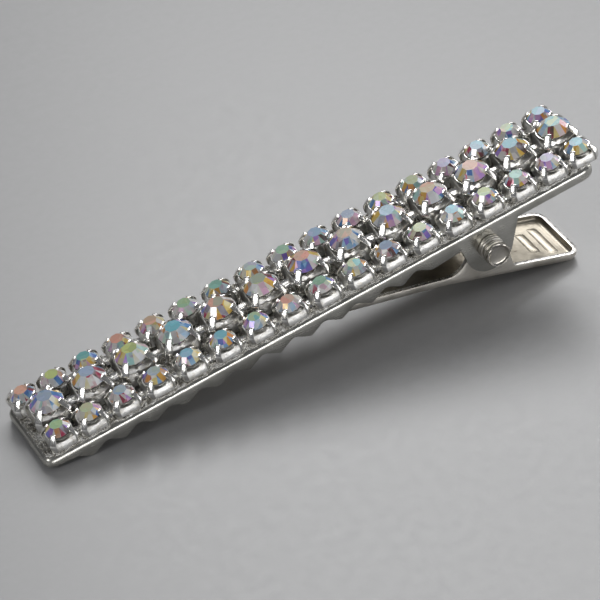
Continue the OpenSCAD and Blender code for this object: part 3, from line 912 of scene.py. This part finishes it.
def collar(size):
    """The rim of the seat, pressed round the stone just under its girdle."""
    base = CUP_FLOOR + STONE_SEAT + size["pavilion"]
    girdle = size["r"]
    profile = [(girdle - 0.30, base - 0.42), (girdle - 0.02, base - 0.18), (girdle + 0.05, base - 0.04),
               (girdle + 0.05, base + 0.02), (girdle + 0.01, base + 0.02), (girdle - 0.05, base - 0.06),
               (girdle - 0.34, base - 0.36)]
    around = 32
    points = [Vector((r * math.cos(2 * math.pi * k / around), r * math.sin(2 * math.pi * k / around), z))
              for r, z in profile for k in range(around)]
    rows = len(profile)
    faces = [[r * around + k, r * around + (k + 1) % around, ((r + 1) % rows) * around + (k + 1) % around,
              ((r + 1) % rows) * around + k] for r in range(rows) for k in range(around)]
    made = Shape()
    made.add(points, faces, 1)
    return made


def prong(width, side_h, size, corner, quarter, rng):
    """One corner's tab: up from the corner, over the girdle and down on the crown."""
    base = CUP_FLOOR + STONE_SEAT
    girdle = base + size["pavilion"] + size["girdle"]
    out = math.sqrt(2) * (width / 2 - corner) + corner - 0.03
    tip_r = size["r"] * rng.uniform(0.83, 0.91)

    def crown(r):
        return girdle + size["crown"] * (size["r"] - r) / (size["r"] - size["table"])

    tip = Vector((tip_r, crown(tip_r) + 0.05))
    bend = Vector((out, tip.y - 0.95 * (out - tip.x)))
    path = [Vector((out - 0.05, 0.2 * side_h)), Vector((out, bend.y - 0.3)), bend + Vector((0, -0.08)),
            bend.lerp(tip, 0.12), bend.lerp(tip, 0.5) + Vector((0.03, 0.03)),
            bend.lerp(tip, 0.86) + Vector((0.03, 0.04)), tip + Vector((0.02, 0.03)),
            tip - Vector((0.05, 0.02))]
    widths = [0.66, 0.64, 0.62, 0.60, 0.56, 0.54, 0.50, 0.34]
    thick = [0.14, 0.15, 0.15, 0.15, 0.15, 0.15, 0.13, 0.07]
    scale = 1.18 if size["r"] == LARGE_R else 1.0
    lean = rng.uniform(-0.05, 0.05)
    fine = smooth_path(path, widths, thick, 3)
    turn = math.radians(45 + 90 * quarter)
    sides = 12
    points = []
    for i, (p, w, t) in enumerate(fine):
        ahead = (fine[min(i + 1, len(fine) - 1)][0] - fine[max(i - 1, 0)][0]).normalized()
        normal = Vector((ahead.y, -ahead.x))
        for k in range(sides):
            a = 2 * math.pi * k / sides
            ca, sa = math.cos(a), math.sin(a)
            across = math.copysign(abs(ca) ** 0.3, ca) * w * scale / 2 + lean * i / len(fine)
            off = math.copysign(abs(sa) ** 0.35, sa) * t / 2
            flat = turned(Vector((p.x + normal.x * off, across)), turn)
            points.append(Vector((flat.x, flat.y, p.y + normal.y * off)))
    made = Shape()
    faces = ring_faces(len(fine), sides)
    faces.append(list(reversed(range(sides))))
    faces.append([(len(fine) - 1) * sides + k for k in range(sides)])
    made.add(points, faces, 1)
    return made


def smooth_path(path, widths, thick, between):
    """A smooth curve through the points, with their widths and thicknesses."""
    fine = []
    last = len(path) - 1
    for i in range(last):
        p0, p1, p2, p3 = path[max(i - 1, 0)], path[i], path[i + 1], path[min(i + 2, last)]
        for j in range(between):
            t = j / between
            p = 0.5 * ((2 * p1) + (p2 - p0) * t + (2 * p0 - 5 * p1 + 4 * p2 - p3) * t * t
                       + (3 * p1 - p0 - 3 * p2 + p3) * t ** 3)
            fine.append((p, widths[i] + (widths[i + 1] - widths[i]) * t,
                         thick[i] + (thick[i + 1] - thick[i]) * t))
    fine.append((path[last], widths[last], thick[last]))
    return fine


def link_shape(length, width, height, rng):
    """A stamped link: a plate with a raised ridge along each side and a dent in its middle."""
    shape = Shape()
    nx, ny = 7, 7
    top, low = [], []
    tip = rng.uniform(-0.06, 0.06)
    for i in range(nx):
        for k in range(ny):
            u, v = -1 + 2 * i / (nx - 1), -1 + 2 * k / (ny - 1)
            ridge = 0.07 * math.exp(-((abs(v) - 0.7) / 0.22) ** 2) - 0.03 * (1 - v * v) * (1 - u * u)
            edge = -0.06 * (abs(v) ** 8 + abs(u) ** 8)
            z = CUP_FLOOR + ridge + edge + tip * v
            top.append(Vector((length / 2 * u, width / 2 * v * (1 - 0.12 * u * u), height + z)))
            low.append(Vector((length / 2 * u, width / 2 * v * (1 - 0.12 * u * u), height + 0.02)))
    shape.add(top + low, slab_faces(nx, ny))
    return shape


def cup_place(x, y, rng, tilt_deg=1.2):
    """Where a cup sits on the glue, a little turned as hand-laid chain is."""
    tilt = Matrix.Rotation(math.radians(rng.uniform(-tilt_deg, tilt_deg)), 4, "X")
    spin = Matrix.Rotation(math.radians(rng.uniform(-tilt_deg, tilt_deg)), 4, "Z")
    return Matrix.Translation(Vector((x, y, GLUE_T))) @ tilt @ spin


def chain(name, first, pitch, count, y, width, side_h, radius, link_z, ends, seed, nodes):
    """One row: its cups, stones and links. A node name with a hole in it gives each place its own piece.
    ends says how far the chain's first and last cups were pushed along as it was laid."""
    rng = random.Random(seed)
    along = [first + i * pitch + ends[0] * math.exp(-i / 0.8) + ends[1] * math.exp(-(count - 1 - i) / 0.8)
             for i in range(count)]
    cups_node, stones_node, links_node = nodes
    size = stone_sizes(radius)
    cups, stones, links = Shape(), Shape(), Shape()
    for i in range(count):
        here = cup_place(along[i], y, rng)
        cup = cup_shape(width, side_h, size, rng).placed(here)
        lean = (Matrix.Rotation(math.radians(rng.uniform(-2.5, 2.5)), 4, "X")
                @ Matrix.Rotation(math.radians(rng.uniform(-2.5, 2.5)), 4, "Y")
                @ Matrix.Rotation(rng.uniform(0, math.pi / 4), 4, "Z"))
        lift = Matrix.Translation(Vector((0, 0, CUP_FLOOR + STONE_SEAT)))
        gem = stone_shape(size, rng).placed(here @ lift @ lean)
        if "%" in cups_node:
            make_piece(f"{name}_cup_{i + 1:02d}", cup, [SILVER, BRIGHT], "top_body",
                       [cups_node % (i + 1)], sharp=50)
            make_piece(f"{name}_stone_{i + 1:02d}", gem, [CROWN, TABLE, PAVILION], "top_body",
                       [stones_node % (i + 1)], sharp=1)
        cups.join(cup)
        stones.join(gem)
        if i < count - 1:
            between = Matrix.Translation(Vector(((along[i] + along[i + 1]) / 2, y, GLUE_T)))
            links.join(link_shape(along[i + 1] - along[i] - width + 0.1, 1.1, link_z, rng).placed(between))
    if "%" not in cups_node:
        make_piece(f"{name}_cups", cups, [SILVER, BRIGHT], "top_body", [cups_node], sharp=50)
        make_piece(f"{name}_stones", stones, [CROWN, TABLE, PAVILION], "top_body",
                   [stones_node], sharp=1)
    make_piece(f"{name}_links", links, [LINK_SILVER], "top_body", [links_node], sharp=50)


# ---------------------------------------------------------------- glue

def glue_bed():
    """Set adhesive on the plate: a lumpy layer that has crept out between the cups and along the edges."""
    shape = Shape()
    nx, ny = 300, 56
    inset = 0.12
    half = PLATE_W / 2 - inset
    top, low = [], []
    for i in range(nx):
        for k in range(ny):
            u, v = i / (nx - 1), -1 + 2 * k / (ny - 1)
            x = inset + 0.25 + u * (PLATE_LEN - 2 * inset - 0.3)
            wander = 0.16 * noise.noise(Vector((x * 0.9, math.copysign(3, v), 0)))
            y = v * (half - 0.10 + 1.3 * wander * abs(v) ** 6)
            if x < CORNER_R + 0.35:
                y *= 1 - 0.12 * (1 - (x - inset) / (CORNER_R + 0.35 - inset))
            lumps = noise.noise(Vector((x * 1.1, y * 1.1, 2.0)))
            grit = noise.noise(Vector((x * 3.6, y * 3.6, 5.0)))
            rim = max(0.0, 1 - ((1 - abs(v)) / 0.03)) + max(0.0, 1 - min(u, 1 - u) / 0.004)
            first = NEAR_FIRST if v < 0 else FAR_FIRST
            gap = (x - first) % SMALL_PITCH - SMALL_PITCH / 2
            blob = math.exp(-(gap / 0.3) ** 2 - ((abs(y) - 3.95) / 0.3) ** 2)
            z = GLUE_T * 0.75 + 0.14 * lumps + 0.11 * grit + 0.28 * blob * (1 + lumps)
            past = min(max(abs(y) - (PLATE_W / 2 - BEND_R), 0.0), BEND_R)
            drop = BEND_R - math.sqrt(BEND_R ** 2 - past ** 2)
            z = max(z * (1 - 0.75 * min(rim, 1)), 0.02)
            top.append(Vector((x, y, z - drop)))
            low.append(Vector((x, y, 0.004 - drop)))
    shape.add(top + low, slab_faces(nx, ny))
    make_piece("set_glue_layer", shape, [GLUE], "top_body", ["glue_bed"], sharp=70)


# ---------------------------------------------------------------- stage

CAM_AZ, CAM_EL, CAM_ROLL = -15.604, 40.642, -18.242
CAM_DIST = 300.0
CAM_TARGET = (27.224, -1.640, 0.0)
SENSOR = 36.0
FRAME_WIDTH = 600
FOCAL_IN_FRAME = 3371.78
LENS = FOCAL_IN_FRAME / FRAME_WIDTH * SENSOR


def camera():
    """The camera, placed by its direction and distance in the plate's frame."""
    az, el, roll = (math.radians(v) for v in (CAM_AZ, CAM_EL, CAM_ROLL))
    back = Vector((math.sin(az) * math.cos(el), -math.cos(az) * math.cos(el), math.sin(el)))
    right = Vector((0, 0, 1)).cross(back).normalized()
    up = back.cross(right)
    right, up = (math.cos(roll) * right + math.sin(roll) * up, -math.sin(roll) * right + math.cos(roll) * up)
    turn = SEAT.to_3x3() * (1 / MM)
    data = bpy.data.cameras.new("camera")
    data.sensor_width = SENSOR
    data.lens = LENS
    data.clip_start, data.clip_end = 0.01, 5
    made = bpy.data.objects.new("camera", data)
    bpy.context.scene.collection.objects.link(made)
    axes = Matrix([turn @ right, turn @ up, turn @ back]).transposed().to_4x4()
    axes.translation = SEAT @ (Vector(CAM_TARGET) + back * CAM_DIST)
    made.matrix_world = axes
    bpy.context.scene.camera = made
    bpy.context.scene.view_settings.view_transform = "Standard"


def floor():
    """A plain grey table, slightly glossy, that curves up far behind the clip."""
    size, rise, steps = 0.6, 0.5, 24
    mesh = bpy.data.meshes.new("floor")
    points, faces = [], []
    rows = [(-size, 0.0), (size * 0.6, 0.0)]
    for i in range(1, steps + 1):
        turn = math.radians(90 * i / steps)
        rows.append((size * 0.6 + rise * math.sin(turn), rise * (1 - math.cos(turn))))
    for y, z in rows:
        points += [(-size * 1.5, y, z), (size * 1.5, y, z)]
    for i in range(len(rows) - 1):
        faces.append([2 * i, 2 * i + 1, 2 * i + 3, 2 * i + 2])
    mesh.from_pydata(points, [], faces)
    for polygon in mesh.polygons:
        polygon.use_smooth = True
    made = bpy.data.objects.new("floor", mesh)
    bpy.context.scene.collection.objects.link(made)
    material, bsdf = shader("grey_table", 0.0, 0.32, (0.36, 0.36, 0.365))
    bsdf.inputs["Specular IOR Level"].default_value = 0.45
    fine = noise_of(material, coordinates(material), 0.9, 4)
    link(material, ramp(material, fine, [(0.3, (0.35, 0.35, 0.352)), (0.7, (0.37, 0.37, 0.374))]),
         bsdf.inputs["Base Color"])
    link(material, scaled(material, fine, 0.28, 0.36), bsdf.inputs["Roughness"])
    mesh.materials.append(material)


def area_light(name, place, target, size, power):
    data = bpy.data.lights.new(name, "AREA")
    data.shape = "RECTANGLE"
    data.size, data.size_y = size
    data.energy = power
    made = bpy.data.objects.new(name, data)
    bpy.context.scene.collection.objects.link(made)
    made.location = place
    made.rotation_mode = "QUATERNION"
    made.rotation_quaternion = (Vector(target) - Vector(place)).to_track_quat("-Z", "Y")


def lights():
    world = bpy.data.worlds.new("studio")
    bpy.context.scene.world = world
    world.use_nodes = True
    background = world.node_tree.nodes["Background"]
    background.inputs["Color"].default_value = (0.94, 0.96, 1.0, 1)
    background.inputs["Strength"].default_value = 0.13
    area_light("key", (0.25, 0.31, 0.42), (0, 0, 0.01), (0.40, 0.32), 2.2)
    area_light("panel", (0.05, 0.46, 0.42), (0, 0, 0.01), (0.46, 0.30), 0.26)
    area_light("left", (-0.42, -0.10, 0.30), (0, 0, 0.01), (0.14, 0.16), 0.42)
    area_light("right", (0.46, -0.03, 0.14), (0, 0, 0.01), (0.24, 0.16), 0.34)
    area_light("front", (0.08, -0.44, 0.05), (0, 0, 0.005), (0.46, 0.08), 0.6)


# ---------------------------------------------------------------- the clip

upper_jaw()
lower_jaw()
pivot_pin()
torsion_spring()
glue_bed()
chain("far_row", FAR_FIRST, SMALL_PITCH, SMALL_COUNT, ROW_Y, SMALL_CUP, SMALL_WALL, SMALL_R, 0.0,
      (0.5, -0.1), 11,
      ("far_row_cups", "far_row_stones", "far_row_links"))
chain("near_row", NEAR_FIRST, SMALL_PITCH, SMALL_COUNT, -ROW_Y, SMALL_CUP, SMALL_WALL, SMALL_R, 0.0,
      (0.5, -0.45), 23,
      ("near_row_cups", "near_row_stones", "near_row_links"))
chain("large", LARGE_FIRST, LARGE_PITCH, LARGE_COUNT, 0.0, LARGE_CUP, LARGE_WALL, LARGE_R, LARGE_LINK_Z,
      (0.15, -0.15), 37,
      ("middle_cup_%02d", "middle_stone_%02d", "middle_row_links"))
floor()
lights()
camera()
